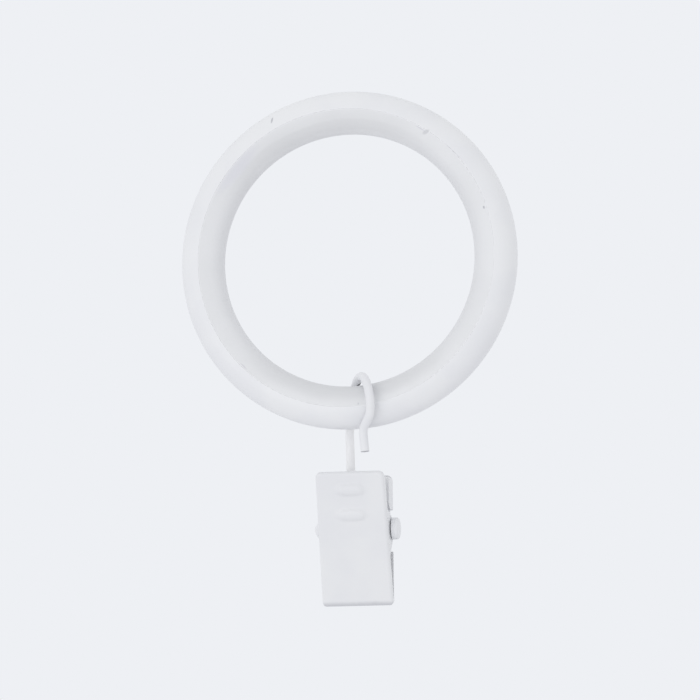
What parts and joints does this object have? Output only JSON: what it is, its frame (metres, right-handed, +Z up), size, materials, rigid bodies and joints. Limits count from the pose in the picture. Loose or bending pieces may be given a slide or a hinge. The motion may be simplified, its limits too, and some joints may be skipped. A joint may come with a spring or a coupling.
{
  "type": "curtain ring with clip",
  "caption": "White curtain ring of coated steel with a plastic liner; a bent wire hook hangs from it and carries a sprung sheet-metal clip for the fabric.",
  "frame": {"origin": "centre of the ring, on its axis and in its middle plane", "axes": "+Y along the ring's axis, away from the clip's front; +Z up, with the hook and clip hanging towards -Z; +X to the right as seen from the front"},
  "size_m": [0.0508, 0.0156, 0.0762],
  "materials": {
    "coated_steel": "smooth white powder coat, satin",
    "liner_plastic": "moulded white plastic, satin",
    "spring_steel": "drawn spring wire"
  },
  "bodies": {
    "ring": {"ring_shell": "coated_steel", "ring_liner": "liner_plastic"},
    "hook": {"wire_hook": "coated_steel"},
    "front_clip": {"front_jaw": "coated_steel", "pivot_rivet": "coated_steel", "torsion_spring": "spring_steel"},
    "rear_clip": {"rear_jaw": "coated_steel"}
  },
  "joints": [
    {"name": "hook_swing", "type": "hinge", "parent": "ring", "child": "hook", "pos_m": [0, 0, -0.022], "axis": [1, 0, 0], "range_deg": [-70, 60]},
    {"name": "clip_swing", "type": "hinge", "parent": "hook", "child": "front_clip", "pos_m": [-0.00035, 0.00736, -0.03949], "axis": [1, 0, 0], "range_deg": [-15, 3]},
    {"name": "jaw_open", "type": "hinge", "parent": "front_clip", "child": "rear_clip", "pos_m": [-0.00035, 0.00736, -0.03949], "axis": [1, 0, 0], "range_deg": [0, 16], "stiffness_Nm_per_rad": 0.03, "springref_deg": -57.3, "deforming": ["torsion_spring"]}
  ]
}
